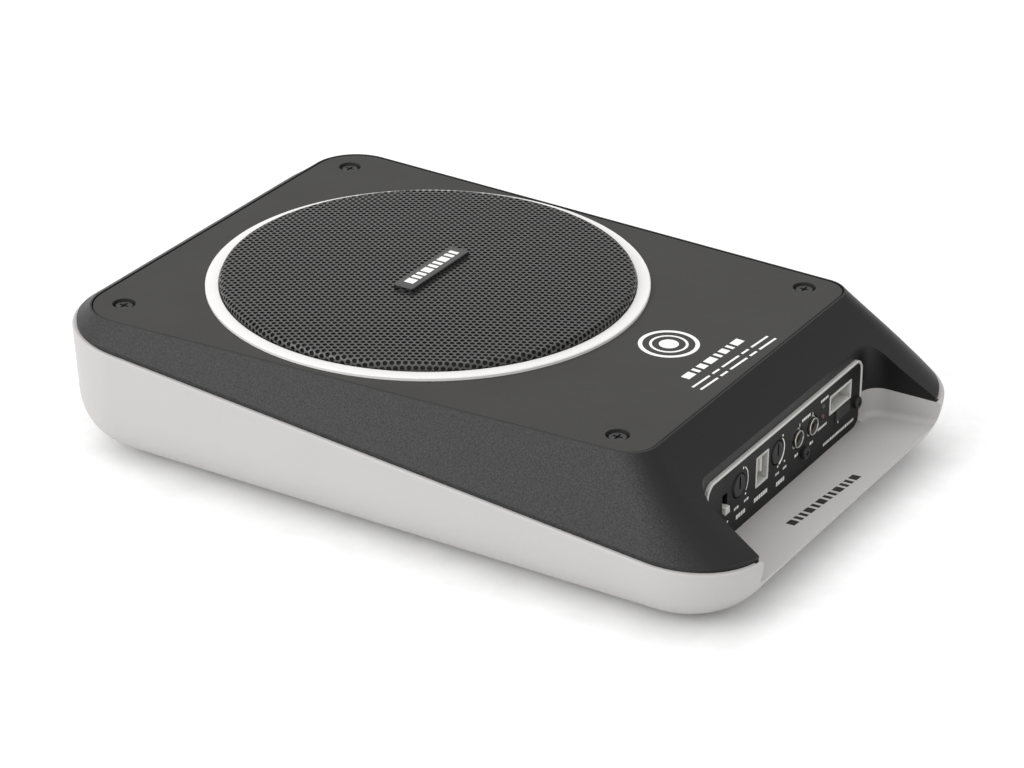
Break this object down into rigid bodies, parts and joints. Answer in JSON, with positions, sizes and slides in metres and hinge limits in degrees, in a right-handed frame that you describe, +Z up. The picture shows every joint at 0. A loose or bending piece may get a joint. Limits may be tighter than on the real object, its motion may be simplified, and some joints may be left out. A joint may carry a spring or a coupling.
{
  "type": "powered car subwoofer",
  "caption": "Low under-seat active bass box: wedge-shaped tub and hood, round grilled driver on top, and a control bay cut into one end.",
  "frame": {"origin": "centre of the overall box, at the level the rubber feet stand on", "axes": "+Z up out of the grille, -Y towards the control bay, +X to the right seen from the bay"},
  "size_m": [0.2354, 0.3464, 0.0784],
  "materials": {
    "tub_plastic": "satin",
    "hood_plastic": "textured",
    "plate_paint": "matte",
    "ring_paint": "satin",
    "grille_paint": "satin",
    "badge_plastic": "gloss",
    "panel_paint": "matte",
    "trim_metal": "satin",
    "black_steel": "satin",
    "plated_steel": "satin",
    "knob_plastic": "matte",
    "white_nylon": "satin",
    "black_nylon": "satin",
    "socket_chrome": "polished",
    "contact_brass": "satin",
    "led_lens_red": "gloss",
    "led_lens_green": "gloss",
    "basket_paint": "satin",
    "cone_paper": "matte",
    "surround_rubber": "satin",
    "spider_cloth": "matte",
    "former_aluminium": "satin",
    "coil_copper": "satin",
    "yoke_steel": "satin",
    "ferrite": "matte",
    "gasket_foam": "matte",
    "board_laminate": "satin",
    "sink_aluminium": "satin",
    "transistor_epoxy": "matte",
    "capacitor_sleeve": "gloss",
    "wire_red": "satin",
    "wire_black": "satin",
    "foot_rubber": "matte"
  },
  "bodies": {
    "housing": {"amplifier_board": "board_laminate", "back_yoke": "yoke_steel", "badge": "badge_plastic", "basket": "basket_paint", "bay_trim": "trim_metal", "board_screws": "plated_steel", "bracket_inserts": "contact_brass", "connector_latch": "black_nylon", "control_panel": "panel_paint", "driver_gasket": "gasket_foam", "driver_screws": "plated_steel", "filter_capacitors": "capacitor_sleeve", "frequency_potentiometer": "plated_steel", "front_yoke_plate": "yoke_steel", "gain_potentiometer": "plated_steel", "grille": "grille_paint", "heatsink": "sink_aluminium", "lower_shell": "tub_plastic", "magnet": "ferrite", "output_inductors": "coil_copper", "panel_screws": "black_steel", "phase_switch": "black_nylon", "plate_screws": "black_steel", "power_connector": "white_nylon", "power_led": "led_lens_green", "power_pins": "contact_brass", "power_transistors": "transistor_epoxy", "protect_led": "led_lens_red", "rca_barrel_left": "socket_chrome", "rca_barrel_right": "socket_chrome", "rca_block": "black_nylon", "rca_contact_left": "contact_brass", "rca_contact_right": "contact_brass", "rca_insulator_left": "black_nylon", "rca_insulator_right": "black_nylon", "remote_pins": "contact_brass", "remote_socket": "white_nylon", "rubber_feet": "foot_rubber", "shell_seal": "gasket_foam", "speaker_lead_negative": "wire_black", "speaker_lead_positive": "wire_red", "spider": "spider_cloth", "surround": "surround_rubber", "terminal_strip": "board_laminate", "terminal_tabs": "contact_brass", "top_plate": "plate_paint", "transformer_core": "ferrite", "transformer_winding": "coil_copper", "transistor_screws": "plated_steel", "trim_ring": "ring_paint", "upper_shell": "hood_plastic"},
    "cone_assembly": {"cone": "cone_paper", "dust_cap": "cone_paper", "voice_coil_former": "former_aluminium", "voice_coil_winding": "coil_copper"},
    "frequency_control": {"frequency_knob": "knob_plastic"},
    "gain_control": {"gain_knob": "knob_plastic"},
    "phase_control": {"phase_slider": "white_nylon"}
  },
  "joints": [
    {"name": "cone_travel", "type": "slide", "parent": "housing", "child": "cone_assembly", "axis": [0, 0, 1], "range_m": [-0.005, 0.005], "stiffness_N_per_m": 3500, "deforming": ["surround", "spider"]},
    {"name": "frequency_turn", "type": "hinge", "parent": "housing", "child": "frequency_control", "pos_m": [-0.0435, -0.137, 0.0372], "axis": [0, -1, 0], "range_deg": [-150, 150]},
    {"name": "gain_turn", "type": "hinge", "parent": "housing", "child": "gain_control", "pos_m": [-0.0085, -0.137, 0.0372], "axis": [0, -1, 0], "range_deg": [-150, 150]},
    {"name": "phase_slide", "type": "slide", "parent": "housing", "child": "phase_control", "axis": [0, 0, 1], "range_m": [0, 0.005]}
  ]
}
